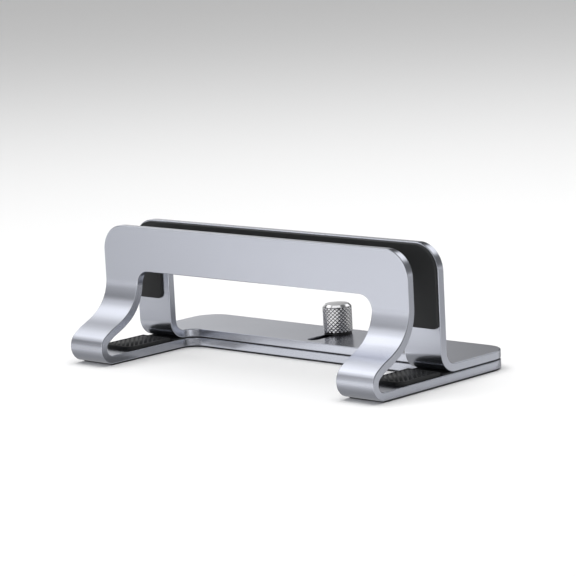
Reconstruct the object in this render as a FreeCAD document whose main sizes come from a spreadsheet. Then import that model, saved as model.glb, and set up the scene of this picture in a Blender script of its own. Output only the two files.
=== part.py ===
"""Vertical laptop stand: a bent plate frame and a sliding bracket that clamp a laptop upright between them.

Millimetres. X runs along the stand, Y from its curled front to its back, Z up.
The origin is the middle of the footprint, on the table.
"""
import FreeCAD, Part
import math
import os
import Sketcher
from FreeCAD import Vector

doc = FreeCAD.newDocument("laptop_stand")

# Driving dimensions

SIZES = [
    # the two bent plates
    ("overall_length", 198.0),
    ("overall_depth", 99.0),
    ("overall_height", 66.0),
    ("plate_thickness", 4.0),
    ("edge_bevel", 0.4),
    ("leg_width", 22.3),
    ("wall_gap", 17.4),
    ("wall_corner_radius", 13.0),
    ("base_corner_radius", 12.5),
    ("window_corner_radius", 7.5),
    ("bridge_depth", 36.4),
    # the front of the frame: a curl, a slope and a hollow bend up to the wall
    ("curl_radius", 7.7),
    ("slope_angle", 29.0),
    ("hollow_radius", 20.4),
    ("front_bar_height", 22.0),
    # the bracket
    ("foot_depth", 51.0),
    ("bend_radius", 8.0),
    ("rear_bar_height", 19.8),
    # the sheets under the frame and between the frame and the bracket
    ("foot_pad_thickness", 0.8),
    ("foot_pad_inset", 0.9),
    ("glide_thickness", 0.6),
    ("glide_inset", 0.5),
    ("glide_gap", 0.5),
    # the pads that touch the laptop
    ("wall_pad_thickness", 1.2),
    ("wall_pad_inset", 0.7),
    ("wall_pad_window_inset", 4.3),
    ("wall_pad_bevel", 0.5),
    ("wall_pad_end_radius", 3.0),
    ("rear_pad_low_edge", 26.4),
    ("rest_pad_thickness", 1.8),
    ("rest_pad_inset", 1.4),
    ("rest_pad_length", 28.0),
    ("rest_pad_tuck", 0.4),
    ("rest_pad_corner_radius", 5.0),
    ("rest_pad_bevel", 0.4),
    ("rib_pitch", 2.2),
    ("rib_groove", 0.9),
    ("rib_depth", 0.3),
    ("rib_count", 13.0),
    # the clamp: thumbscrew, washer and clinch nut
    ("knob_diameter", 14.4),
    ("knob_height", 14.3),
    ("knob_setback", 11.5),
    ("knob_top_round", 1.3),
    ("knob_low_chamfer", 0.6),
    ("knurl_depth", 0.45),
    ("knurl_count", 22.0),
    ("screw_diameter", 5.0),
    ("screw_end_gap", 0.4),
    ("thread_clearance", 0.05),
    ("washer_thickness", 0.8),
    ("washer_diameter", 13.6),
    ("washer_clearance", 0.15),
    ("nut_diameter", 7.2),
    ("nut_flange_diameter", 9.4),
    ("nut_flange_thickness", 1.2),
    ("nut_top_gap", 0.3),
    ("seat_clearance", 0.02),
    # the slot and the hidden guide pins
    ("slide_travel", 17.5),
    ("slot_clearance", 0.25),
    ("slot_end_clearance", 0.3),
    ("pin_diameter", 4.0),
    ("pin_spacing", 110.0),
    ("pin_setback", 15.0),
    ("pin_seat_depth", 2.8),
    ("pin_top_gap", 0.3),
    ("pin_chamfer", 0.4),
    ("pin_clearance", 0.05),
    ("groove_depth", 2.2),
]

sheet = doc.addObject("Spreadsheet::Sheet", "sizes")
for row, (alias, number) in enumerate(SIZES, start=1):
    sheet.set(f"A{row}", alias.replace("_", " "))
    sheet.set(f"B{row}", str(number))
    sheet.setAlias(f"B{row}", alias)
doc.recompute()


class Size:
    """A length or an angle as a number, with the expression that ties it to the sheet."""

    def __init__(self, number, text):
        self.number = number
        self.text = text

    def __add__(self, other):
        other = as_size(other)
        return Size(self.number + other.number, f"({self.text} + {other.text})")

    def __sub__(self, other):
        other = as_size(other)
        return Size(self.number - other.number, f"({self.text} - {other.text})")

    def __mul__(self, factor):
        return Size(self.number * factor, f"({self.text} * {factor})")

    def __truediv__(self, divisor):
        return Size(self.number / divisor, f"({self.text} / {divisor})")

    def __neg__(self):
        return Size(-self.number, f"(-1 * {self.text})")


def as_size(value):
    return value if isinstance(value, Size) else Size(float(value), str(float(value)))


def smaller(first, second):
    """The smaller of two sizes, such as a corner's radius and the room it has."""
    return Size(min(first.number, second.number), f"min({first.text}; {second.text})")


def size(alias):
    """The named cell of the sheet."""
    return Size(float(sheet.get(alias)), f"sizes.{alias}")


# Places worked out from the driving dimensions

plate = size("plate_thickness")
half_length = size("overall_length") / 2
half_depth = size("overall_depth") / 2
wall_top = size("overall_height")
leg_inner = half_length - size("leg_width")

base_low = size("foot_pad_thickness")
base_top = base_low + plate
foot_low = base_top + size("glide_thickness")
foot_top = foot_low + plate

rear_wall_face = half_depth - size("foot_depth")
rear_wall_back = rear_wall_face + plate
front_wall_back = rear_wall_face - size("wall_gap")
front_wall_face = front_wall_back - plate
bridge_edge = half_depth - size("bridge_depth")
bay_room = bridge_edge - rear_wall_back - size("edge_bevel")
bay_corner_radius = smaller(size("window_corner_radius"), bay_room)
slot_middle = (rear_wall_face + front_wall_back) / 2

curl_y = size("curl_radius") - half_depth
rest_pad_rear = rear_wall_face + size("rest_pad_tuck")
front_bar_low = wall_top - size("front_bar_height")
rear_bar_low = wall_top - size("rear_bar_height")

knob_y = half_depth - size("knob_setback")
pin_x = size("pin_spacing") / 2
pin_y = half_depth - size("pin_setback")
washer_top = foot_top + size("washer_thickness")
knob_top = washer_top + size("knob_height")
cut_margin = plate


# Sketch helpers

def bind(owner, prop, value):
    """Set a property and tie it to the sheet."""
    setattr(owner, prop, value.number)
    owner.setExpression(prop, value.text)


def new_body(label):
    body = doc.addObject("PartDesign::Body", label)
    body.Label = label
    return body


def origin_item(body, role):
    return next(item for item in body.Origin.OriginFeatures if item.Role == role)


def new_sketch(body, name, role, lift=None):
    """A sketch on one of the body's own planes, lifted along the plane's normal."""
    sketch = body.newObject("Sketcher::SketchObject", f"{body.Label}_{name}")
    sketch.AttachmentSupport = [(origin_item(body, role), "")]
    sketch.MapMode = "FlatFace"
    if lift is not None:
        sketch.AttachmentOffset = FreeCAD.Placement(Vector(0, 0, lift.number), FreeCAD.Rotation())
        sketch.setExpression(".AttachmentOffset.Base.z", lift.text)
    doc.recompute()
    return sketch


def dimension(sketch, kind, *terms):
    """A dimension whose last term is a Size."""
    value = terms[-1]
    index = sketch.addConstraint(Sketcher.Constraint(kind, *terms[:-1], value.number))
    sketch.setExpression(f"Constraints[{index}]", value.text)


def place_x(sketch, geometry, point, value):
    """Hold a point at a distance from the vertical axis; the dimension itself stays positive."""
    if value.number < 0:
        dimension(sketch, "DistanceX", geometry, point, -1, 1, -value)
    else:
        dimension(sketch, "DistanceX", -1, 1, geometry, point, value)


def place_y(sketch, geometry, point, value):
    """Hold a point at a distance from the horizontal axis; the dimension itself stays positive."""
    if value.number < 0:
        dimension(sketch, "DistanceY", geometry, point, -1, 1, -value)
    else:
        dimension(sketch, "DistanceY", -1, 1, geometry, point, value)


def line(start, end):
    return {"kind": "line", "start": start, "end": end}


def arc(centre, radius, angle_from, angle_to):
    """An arc walked from one angle to the other, in degrees; a falling angle walks it clockwise."""
    return {"kind": "arc", "centre": centre, "radius": radius, "from": angle_from, "to": angle_to}


def draw_loop(sketch, pieces):
    """Draw a closed outline: arcs run tangent into their neighbours and straight lines meet at corners."""
    ends = []
    for piece in pieces:
        if piece["kind"] == "line":
            start = Vector(*piece["start"], 0)
            end = Vector(*piece["end"], 0)
            index = sketch.addGeometry(Part.LineSegment(start, end))
            ends.append((index, 1, 2))
        else:
            circle = Part.Circle(Vector(*piece["centre"], 0), Vector(0, 0, 1), piece["radius"])
            low = math.radians(min(piece["from"], piece["to"]))
            high = math.radians(max(piece["from"], piece["to"]))
            index = sketch.addGeometry(Part.ArcOfCircle(circle, low, high))
            ends.append((index, 1, 2) if piece["to"] > piece["from"] else (index, 2, 1))
    for i, piece in enumerate(pieces):
        follower = pieces[(i + 1) % len(pieces)]
        straight = piece["kind"] == "line" and follower["kind"] == "line"
        joint = "Coincident" if straight else "Tangent"
        index, _, leaving = ends[i]
        next_index, entering, _ = ends[(i + 1) % len(pieces)]
        sketch.addConstraint(Sketcher.Constraint(joint, index, leaving, next_index, entering))
    return [index for index, _, _ in ends]


def draw_square_outline(sketch, corners):
    """Draw an outline whose sides run along the axes.

    Each corner is (x, y, radius), with None for a sharp corner; a side is held where its two corners are.
    """
    count = len(corners)
    points = [(x.number, y.number) for x, y, _ in corners]
    radii = [0.0 if radius is None else radius.number for _, _, radius in corners]
    pieces = []
    marks = []
    for i in range(count):
        before = points[i - 1]
        here = points[i]
        after = points[(i + 1) % count]
        into = unit(before, here)
        out = unit(here, after)
        line_start = (here[0] + out[0] * radii[i], here[1] + out[1] * radii[i])
        follow = radii[(i + 1) % count]
        line_end = (after[0] - out[0] * follow, after[1] - out[1] * follow)
        if radii[i]:
            centre = (line_start[0] - into[0] * radii[i], line_start[1] - into[1] * radii[i])
            turn = into[0] * out[1] - into[1] * out[0]
            opening = math.degrees(math.atan2(-out[1], -out[0]))
            pieces.append(arc(centre, radii[i], opening, opening + 90 * turn))
            marks.append(("corner", i))
        pieces.append(line(line_start, line_end))
        marks.append(("side", i))
    indices = draw_loop(sketch, pieces)
    for index, (mark, i) in zip(indices, marks):
        x, y, radius = corners[i]
        if mark == "corner":
            dimension(sketch, "Radius", index, radius)
        elif points[i][0] == points[(i + 1) % count][0]:
            sketch.addConstraint(Sketcher.Constraint("Vertical", index))
            place_x(sketch, index, 1, x)
        else:
            sketch.addConstraint(Sketcher.Constraint("Horizontal", index))
            place_y(sketch, index, 1, y)


def unit(start, end):
    run = math.dist(start, end)
    return ((end[0] - start[0]) / run, (end[1] - start[1]) / run)


def draw_slot(sketch, x, front, rear, radius):
    """Draw a round-ended slot along Y from the front centre to the rear centre."""
    x0 = x.number
    r0 = radius.number
    pieces = [
        line((x0 + r0, front.number), (x0 + r0, rear.number)),
        arc((x0, rear.number), r0, 0, 180),
        line((x0 - r0, rear.number), (x0 - r0, front.number)),
        arc((x0, front.number), r0, 180, 360),
    ]
    right, rear_end, left, front_end = draw_loop(sketch, pieces)
    sketch.addConstraint(Sketcher.Constraint("Vertical", right))
    sketch.addConstraint(Sketcher.Constraint("Vertical", left))
    if x0:
        place_x(sketch, rear_end, 3, x)
    else:
        sketch.addConstraint(Sketcher.Constraint("PointOnObject", rear_end, 3, -2))
    place_y(sketch, rear_end, 3, rear)
    place_y(sketch, front_end, 3, front)
    dimension(sketch, "Radius", rear_end, radius)


def draw_circle(sketch, x, y, radius):
    circle = Part.Circle(Vector(x.number, y.number, 0), Vector(0, 0, 1), radius.number)
    index = sketch.addGeometry(circle)
    if x.number:
        place_x(sketch, index, 3, x)
    else:
        sketch.addConstraint(Sketcher.Constraint("PointOnObject", index, 3, -2))
    place_y(sketch, index, 3, y)
    dimension(sketch, "Radius", index, radius)


# Feature helpers

def pad(body, sketch, length, both_ways=False, reverse=False):
    feature = body.newObject("PartDesign::Pad", f"{sketch.Name}_pad")
    feature.Profile = sketch
    bind(feature, "Length", length)
    feature.SideType = "Symmetric" if both_ways else "One side"
    feature.Reversed = reverse
    doc.recompute()
    return feature


def pocket(body, sketch, length=None, both_ways=False, reverse=False):
    """Cut a sketch to a depth, or right through; a cut that takes nothing away is an error."""
    before = body.Shape.Volume
    feature = body.newObject("PartDesign::Pocket", f"{sketch.Name}_cut")
    feature.Profile = sketch
    feature.SideType = "Symmetric" if both_ways else "One side"
    feature.Reversed = reverse
    if length is None:
        feature.Type = "ThroughAll"
    else:
        bind(feature, "Length", length)
    doc.recompute()
    if body.Shape.Volume > before - 1e-6:
        raise RuntimeError(f"{feature.Name} cuts nothing")
    return feature


def edge_names(feature, wanted):
    names = [f"Edge{i}" for i, edge in enumerate(feature.Shape.Edges, start=1) if wanted(edge)]
    if not names:
        raise RuntimeError(f"no edge found on {feature.Name}")
    return names


def runs_along(direction, *places):
    """A test for straight edges along a direction that pass through one of the places."""
    def test(edge):
        if not isinstance(edge.Curve, Part.Line):
            return False
        if edge.tangentAt(edge.FirstParameter).cross(direction).Length > 1e-6:
            return False
        middle = edge.CenterOfMass
        return any((middle - place).cross(direction).Length < 1e-3 for place in places)
    return test


def is_sharp(shape, edge):
    """True where two faces meet at a corner and not as a smooth run."""
    middle = edge.valueAt((edge.FirstParameter + edge.LastParameter) / 2)
    normals = []
    for face in shape.ancestorsOfType(edge, Part.Face):
        u, v = face.Surface.parameter(middle)
        normals.append(face.normalAt(u, v))
    return len(normals) == 2 and normals[0].getAngle(normals[1]) > math.radians(5)


def dress(body, kind, feature, names, prop, value):
    """A fillet or a chamfer on the named edges."""
    dressed = body.newObject(f"PartDesign::{kind}", f"{feature.Name}_{kind.lower()}")
    dressed.Base = (feature, names)
    bind(dressed, prop, value)
    doc.recompute()
    return dressed


def fillet(body, feature, wanted, radius):
    return dress(body, "Fillet", feature, edge_names(feature, wanted), "Radius", radius)


def chamfer(body, feature, wanted, width):
    return dress(body, "Chamfer", feature, edge_names(feature, wanted), "Size", width)


# The frame: one plate that lies flat, curls up at the front and rises to the front wall

def draw_frame_profile(sketch):
    """The plate's section seen from its end: flat base, curl, slope, hollow bend and wall."""
    thick = plate.number
    low = base_low.number
    rear = half_depth.number
    outer = size("curl_radius").number
    inner = outer - thick
    hollow = size("hollow_radius").number
    slope = size("slope_angle").number
    up = math.sin(math.radians(slope))
    along = math.cos(math.radians(slope))
    curl = (curl_y.number, low + outer)
    curl_exit = (curl[0] - outer * up, curl[1] + outer * along)
    hollow_start_y = front_wall_face.number - hollow * (1 - up)
    slope_length = (hollow_start_y - curl_exit[0]) / along
    hollow_start = (hollow_start_y, curl_exit[1] + slope_length * up)
    hollow_centre = (hollow_start[0] - hollow * up, hollow_start[1] + hollow * along)
    face = front_wall_face.number
    back = front_wall_back.number
    top = wall_top.number
    inner_curl_exit = (curl[0] - inner * up, curl[1] + inner * along)
    outer_hollow = hollow + thick
    inner_slope_end = (hollow_centre[0] + outer_hollow * up, hollow_centre[1] - outer_hollow * along)
    pieces = [
        line((rear, low), (curl[0], low)),
        arc(curl, outer, 270, 90 + slope),
        line(curl_exit, hollow_start),
        arc(hollow_centre, hollow, slope - 90, 0),
        line((face, hollow_centre[1]), (face, top)),
        line((face, top), (back, top)),
        line((back, top), (back, hollow_centre[1])),
        arc(hollow_centre, outer_hollow, 0, slope - 90),
        line(inner_slope_end, inner_curl_exit),
        arc(curl, inner, 90 + slope, 270),
        line((curl[0], low + thick), (rear, low + thick)),
        line((rear, low + thick), (rear, low)),
    ]
    names = draw_loop(sketch, pieces)
    under, curl_out, slope_line, hollow_in, front, crest, behind, hollow_out, _, curl_in, upper, end = names
    for flat in (under, crest, upper):
        sketch.addConstraint(Sketcher.Constraint("Horizontal", flat))
    for upright in (front, behind, end):
        sketch.addConstraint(Sketcher.Constraint("Vertical", upright))
    sketch.addConstraint(Sketcher.Constraint("Coincident", curl_out, 3, curl_in, 3))
    sketch.addConstraint(Sketcher.Constraint("Coincident", hollow_in, 3, hollow_out, 3))
    place_x(sketch, end, 1, half_depth)
    place_y(sketch, under, 1, base_low)
    dimension(sketch, "DistanceY", end, 2, end, 1, plate)
    dimension(sketch, "DistanceX", crest, 1, crest, 2, plate)
    dimension(sketch, "Radius", curl_out, size("curl_radius"))
    place_x(sketch, curl_out, 3, curl_y)
    dimension(sketch, "Radius", hollow_in, size("hollow_radius"))
    place_x(sketch, front, 1, front_wall_face)
    place_y(sketch, crest, 1, wall_top)
    index = sketch.addConstraint(Sketcher.Constraint("Angle", slope_line, math.radians(slope)))
    sketch.setExpression(f"Constraints[{index}]", "sizes.slope_angle * 1 deg")


def cut_window(body, bar_low, back):
    """Open the wall between the legs, from below up to the bar, as far back as a given place."""
    sketch = new_sketch(body, "window", "XZ_Plane", lift=-back)
    radius = size("window_corner_radius")
    draw_square_outline(sketch, [
        (leg_inner, -cut_margin, None),
        (leg_inner, bar_low, radius),
        (-leg_inner, bar_low, radius),
        (-leg_inner, -cut_margin, None),
    ])
    pocket(body, sketch, reverse=True)


def cut_bay(body, front, height):
    """Open the flat part between the legs, from a given place back to the bridge, up to a height."""
    sketch = new_sketch(body, "bay", "XY_Plane")
    draw_square_outline(sketch, [
        (leg_inner, front, None),
        (leg_inner, bridge_edge, bay_corner_radius),
        (-leg_inner, bridge_edge, bay_corner_radius),
        (-leg_inner, front, None),
    ])
    return pocket(body, sketch, length=height, reverse=True)


def round_plate_corners(body, feature, wall_y):
    """Round the wall's top corners, seen from the front, and the flat's rear corners, seen from above."""
    x = half_length.number
    top = wall_top.number
    along_y = Vector(0, 1, 0)
    along_z = Vector(0, 0, 1)
    top_corners = runs_along(along_y, Vector(x, wall_y, top), Vector(-x, wall_y, top))
    feature = fillet(body, feature, top_corners, size("wall_corner_radius"))
    rear = half_depth.number
    rear_corners = runs_along(along_z, Vector(x, rear, 0), Vector(-x, rear, 0))
    return fillet(body, feature, rear_corners, size("base_corner_radius"))


def bevel_rim(body, feature):
    """Break the sharp edges all round the plate's outline."""
    shape = feature.Shape
    return chamfer(body, feature, lambda edge: is_sharp(shape, edge), size("edge_bevel"))


def make_base_frame():
    body = new_body("base_frame")
    profile = new_sketch(body, "profile", "YZ_Plane")
    draw_frame_profile(profile)
    pad(body, profile, half_length * 2, both_ways=True)
    cut_window(body, front_bar_low, slot_middle)
    feature = cut_bay(body, front_wall_back, base_top + cut_margin)
    feature = round_plate_corners(body, feature, front_wall_face.number)
    bevel_rim(body, feature)
    cut_nut_seat(body)
    cut_pin_seats(body)
    return body


def cut_nut_seat(body):
    """The stepped hole that the clinch nut is pressed into from below."""
    clearance = size("seat_clearance")
    hole = new_sketch(body, "nut_hole", "XY_Plane")
    draw_circle(hole, as_size(0), knob_y, size("nut_diameter") / 2 + clearance)
    pocket(body, hole, both_ways=True)
    recess = new_sketch(body, "nut_recess", "XY_Plane", lift=base_low)
    draw_circle(recess, as_size(0), knob_y, size("nut_flange_diameter") / 2 + clearance)
    pocket(body, recess, length=size("nut_flange_thickness"), reverse=True)


def cut_pin_seats(body):
    """Blind holes in the top of the base for the two guide pins."""
    seats = new_sketch(body, "pin_seats", "XY_Plane", lift=base_top)
    for x in (pin_x, -pin_x):
        draw_circle(seats, x, pin_y, size("pin_diameter") / 2 + size("seat_clearance"))
    pocket(body, seats, length=size("pin_seat_depth"))


# The bracket: a foot on top of the base, bent up into the rear wall

def draw_bracket_profile(sketch):
    face = rear_wall_face.number
    thick = plate.number
    outer = size("bend_radius").number
    low = foot_low.number
    rear = half_depth.number
    top = wall_top.number
    centre = (face + outer, low + outer)
    pieces = [
        line((face, top), (face, low + outer)),
        arc(centre, outer, 180, 270),
        line((centre[0], low), (rear, low)),
        line((rear, low), (rear, low + thick)),
        line((rear, low + thick), (centre[0], low + thick)),
        arc(centre, outer - thick, 270, 180),
        line((face + thick, centre[1]), (face + thick, top)),
        line((face + thick, top), (face, top)),
    ]
    front, bend_out, under, end, upper, bend_in, behind, crest = draw_loop(sketch, pieces)
    for flat in (under, upper, crest):
        sketch.addConstraint(Sketcher.Constraint("Horizontal", flat))
    for upright in (front, end, behind):
        sketch.addConstraint(Sketcher.Constraint("Vertical", upright))
    sketch.addConstraint(Sketcher.Constraint("Coincident", bend_out, 3, bend_in, 3))
    place_x(sketch, front, 1, rear_wall_face)
    place_y(sketch, front, 1, wall_top)
    dimension(sketch, "Radius", bend_out, size("bend_radius"))
    place_y(sketch, under, 1, foot_low)
    place_x(sketch, end, 1, half_depth)
    dimension(sketch, "DistanceY", end, 1, end, 2, plate)


def slot_centres():
    """The slot's two end centres: the screw stands at the rear one with the bracket fully forward."""
    ease = size("slot_end_clearance")
    return knob_y - size("slide_travel") - ease, knob_y + ease


def pin_groove_centres():
    ease = size("slot_end_clearance")
    return pin_y - size("slide_travel") - ease, pin_y + ease


def make_sliding_bracket():
    body = new_body("sliding_bracket")
    profile = new_sketch(body, "profile", "YZ_Plane")
    draw_bracket_profile(profile)
    pad(body, profile, half_length * 2, both_ways=True)
    cut_window(body, rear_bar_low, rear_wall_back)
    feature = cut_bay(body, rear_wall_face - cut_margin, foot_low + size("bend_radius"))
    feature = round_plate_corners(body, feature, rear_wall_face.number)
    bevel_rim(body, feature)
    slot = new_sketch(body, "slot", "XY_Plane")
    front, rear = slot_centres()
    draw_slot(slot, as_size(0), front, rear, size("screw_diameter") / 2 + size("slot_clearance"))
    pocket(body, slot, both_ways=True)
    grooves = new_sketch(body, "pin_grooves", "XY_Plane", lift=foot_low)
    front, rear = pin_groove_centres()
    for x in (pin_x, -pin_x):
        draw_slot(grooves, x, front, rear, size("pin_diameter") / 2 + size("pin_clearance"))
    pocket(body, grooves, length=size("groove_depth"), reverse=True)
    return body


# Thin sheets: the foot pad under the base and the glide sheet on top of it, under the bracket

def draw_bay_outline(sketch, inset, front):
    """The outline of the flat part of either plate, two legs and a bridge, drawn in by an inset."""
    outer = half_length - inset
    inner = leg_inner + inset
    rear = half_depth - inset
    bridge = bridge_edge + inset
    rear_radius = size("base_corner_radius") - inset
    bay_radius = bay_corner_radius + inset
    draw_square_outline(sketch, [
        (outer, front, None),
        (outer, rear, rear_radius),
        (-outer, rear, rear_radius),
        (-outer, front, None),
        (-inner, front, None),
        (-inner, bridge, bay_radius),
        (inner, bridge, bay_radius),
        (inner, front, None),
    ])


def make_foot_pad():
    """A thin non-slip sheet stuck under the base."""
    body = new_body("base_foot_pad")
    outline = new_sketch(body, "outline", "XY_Plane")
    draw_bay_outline(outline, size("foot_pad_inset"), curl_y)
    pad(body, outline, base_low)
    return body


def make_glide_sheet():
    """The slippery sheet stuck on the base behind the rest pads, with holes for the screw and the pins.

    The bracket's foot slides on it, and in front of the foot it shows under the bracket's bends.
    """
    body = new_body("glide_sheet")
    outline = new_sketch(body, "outline", "XY_Plane", lift=base_top)
    draw_bay_outline(outline, size("glide_inset"), rest_pad_rear + size("glide_gap"))
    pad(body, outline, size("glide_thickness"))
    cuts = new_sketch(body, "holes", "XY_Plane", lift=base_top)
    clearance = size("slot_clearance")
    draw_circle(cuts, as_size(0), knob_y, size("screw_diameter") / 2 + clearance)
    for x in (pin_x, -pin_x):
        draw_circle(cuts, x, pin_y, size("pin_diameter") / 2 + clearance)
    pocket(body, cuts, both_ways=True)
    return body


# The pads that touch the laptop

def band_top_corners(low):
    """The wall pads' bar ends: their place, top corners and the corners at their low end."""
    inset = size("wall_pad_inset")
    outer = half_length - inset
    top = wall_top - inset
    top_radius = size("wall_corner_radius") - inset
    end_radius = size("wall_pad_end_radius")
    return [
        (outer, low, end_radius),
        (outer, top, top_radius),
        (-outer, top, top_radius),
        (-outer, low, end_radius),
    ]


def make_rear_wall_pad():
    """A soft band shaped like the rear wall: across the bar and down both legs."""
    body = new_body("rear_wall_pad")
    low = size("rear_pad_low_edge")
    window_inset = size("wall_pad_window_inset")
    inner = leg_inner + window_inset
    bar = rear_bar_low + window_inset
    inner_radius = size("window_corner_radius") + window_inset
    end_radius = size("wall_pad_end_radius")
    outline = new_sketch(body, "outline", "XZ_Plane", lift=-rear_wall_face)
    draw_square_outline(outline, band_top_corners(low) + [
        (-inner, low, end_radius),
        (-inner, bar, inner_radius),
        (inner, bar, inner_radius),
        (inner, low, end_radius),
    ])
    feature = pad(body, outline, size("wall_pad_thickness"))
    face = rear_wall_face - size("wall_pad_thickness")
    chamfer(body, feature, lambda edge: lies_at_depth(edge, face), size("wall_pad_bevel"))
    return body


def make_front_wall_pad():
    """A soft band across the back of the front bar."""
    body = new_body("front_wall_pad")
    outline = new_sketch(body, "outline", "XZ_Plane", lift=-front_wall_back)
    draw_square_outline(outline, band_top_corners(front_bar_low + size("wall_pad_window_inset")))
    feature = pad(body, outline, size("wall_pad_thickness"), reverse=True)
    face = front_wall_back + size("wall_pad_thickness")
    chamfer(body, feature, lambda edge: lies_at_depth(edge, face), size("wall_pad_bevel"))
    return body


def lies_at_depth(edge, depth):
    box = edge.BoundBox
    return abs(box.YMin - depth.number) < 1e-4 and abs(box.YMax - depth.number) < 1e-4


def lies_at_height(edge, height):
    box = edge.BoundBox
    return abs(box.ZMin - height.number) < 1e-4 and abs(box.ZMax - height.number) < 1e-4


def make_rest_pad(label, side):
    """The ribbed pad on top of one leg of the base, which a laptop's edge stands on."""
    body = new_body(label)
    inset = size("rest_pad_inset")
    outer = (half_length - inset) * side
    inner = (leg_inner + inset) * side
    rear = rest_pad_rear
    front = rear - size("rest_pad_length")
    corner = size("rest_pad_corner_radius")
    outline = new_sketch(body, "outline", "XY_Plane", lift=base_top)
    draw_square_outline(outline, [
        (outer, rear, None),
        (inner, rear, None),
        (inner, front, corner),
        (outer, front, corner),
    ])
    feature = pad(body, outline, size("rest_pad_thickness"))
    top = base_top + size("rest_pad_thickness")
    chamfer(body, feature, lambda edge: lies_at_height(edge, top), size("rest_pad_bevel"))
    cut_ribs(body, side, rear, top)
    return body


def cut_ribs(body, side, rear, top):
    """Diagonal grooves across the pad's top, one drawn at the rear inner corner and the rest stepped off it."""
    start = new_sketch(body, "groove", "XY_Plane", lift=top)
    turn = FreeCAD.Rotation(Vector(0, 0, 1), -45)
    centre = (half_length - size("leg_width") / 2) * side
    middle = rear - size("rest_pad_length") / 2
    pitch = size("rib_pitch")
    count = round(size("rib_count").number)
    reach = size("rest_pad_length") + size("leg_width")
    start.AttachmentOffset = FreeCAD.Placement(Vector(centre.number, middle.number, top.number), turn)
    start.setExpression(".AttachmentOffset.Base.x", centre.text)
    start.setExpression(".AttachmentOffset.Base.y", middle.text)
    doc.recompute()
    half = size("rib_groove") / 2
    across = pitch * ((count - 1) / 2)
    draw_square_outline(start, [
        (reach / 2, -across - half, None),
        (reach / 2, -across + half, None),
        (-(reach / 2), -across + half, None),
        (-(reach / 2), -across - half, None),
    ])
    cut = pocket(body, start, length=size("rib_depth"))
    steps = body.newObject("PartDesign::LinearPattern", f"{body.Label}_ribs")
    steps.Originals = [cut]
    steps.Direction = (start, ["V_Axis"])
    bind(steps, "Length", pitch * (count - 1))
    steps.Occurrences = count
    body.Tip = steps
    doc.recompute()


# The clamp

def spin(body, sketch):
    """Revolve a half section about the body's own Z axis."""
    feature = body.newObject("PartDesign::Revolution", f"{sketch.Name}_turned")
    feature.Profile = sketch
    feature.ReferenceAxis = (origin_item(body, "Z_Axis"), [""])
    feature.Angle = 360.0
    doc.recompute()
    return feature


def draw_half_section(sketch, points):
    """Draw a half section from (radius, height) points, with every point held by its two sizes."""
    numbers = [(radius.number, height.number) for radius, height in points]
    pieces = [line(numbers[i], numbers[(i + 1) % len(points)]) for i in range(len(points))]
    indices = draw_loop(sketch, pieces)
    for index, (radius, height) in zip(indices, points):
        if radius.number:
            place_x(sketch, index, 1, radius)
        else:
            sketch.addConstraint(Sketcher.Constraint("PointOnObject", index, 1, -2))
        place_y(sketch, index, 1, height)


def turned_body(label, points, x, y):
    """A turned piece that stands at x and y."""
    body = new_body(label)
    section = new_sketch(body, "section", "XZ_Plane")
    draw_half_section(section, points)
    spin(body, section)
    body.Placement = FreeCAD.Placement(Vector(x.number, y.number, 0), FreeCAD.Rotation())
    body.setExpression(".Placement.Base.x", x.text)
    body.setExpression(".Placement.Base.y", y.text)
    doc.recompute()
    return body


def make_clinch_nut():
    bore = size("screw_diameter") / 2 + size("thread_clearance")
    barrel = size("nut_diameter") / 2
    flange = size("nut_flange_diameter") / 2
    step = base_low + size("nut_flange_thickness")
    top = base_top - size("nut_top_gap")
    points = [(bore, base_low), (flange, base_low), (flange, step), (barrel, step), (barrel, top), (bore, top)]
    return turned_body("clinch_nut", points, as_size(0), knob_y)


def make_guide_pin(label, side):
    radius = size("pin_diameter") / 2
    low = base_top - size("pin_seat_depth")
    top = foot_low + size("groove_depth") - size("pin_top_gap")
    edge = size("pin_chamfer")
    zero = as_size(0)
    points = [(zero, low), (radius, low), (radius, top - edge), (radius - edge, top), (zero, top)]
    return turned_body(label, points, pin_x * side, pin_y)


def make_washer():
    """The thin plastic washer under the knob."""
    rim = doc.addObject("Part::Cylinder", "washer_rim")
    bind(rim, "Radius", size("washer_diameter") / 2)
    bind(rim, "Height", size("washer_thickness"))
    hole = doc.addObject("Part::Cylinder", "washer_hole")
    bind(hole, "Radius", size("screw_diameter") / 2 + size("washer_clearance"))
    bind(hole, "Height", size("washer_thickness"))
    washer = doc.addObject("Part::Cut", "thumbscrew_washer")
    washer.Base = rim
    washer.Tool = hole
    washer.Label = "thumbscrew_washer"
    washer.Placement = FreeCAD.Placement(Vector(0, knob_y.number, foot_top.number), FreeCAD.Rotation())
    washer.setExpression(".Placement.Base.y", knob_y.text)
    washer.setExpression(".Placement.Base.z", foot_top.text)
    doc.recompute()
    return washer


def knurl_point(band, ring, step):
    """A point of the knurl: peaks and groove crossings take turns round each ring, and between rings."""
    rings = band["rings"]
    is_peak = 0 < ring < rings and (ring + step) % 2 == 1
    radius = band["peak"] if is_peak else band["valley"]
    angle = math.pi * step / band["count"]
    height = band["low"] + (band["high"] - band["low"]) * ring / rings
    return Vector(radius * math.cos(angle), radius * math.sin(angle), height)


def triangle(first, second, third):
    return Part.Face(Part.makePolygon([first, second, third, first]))


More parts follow.
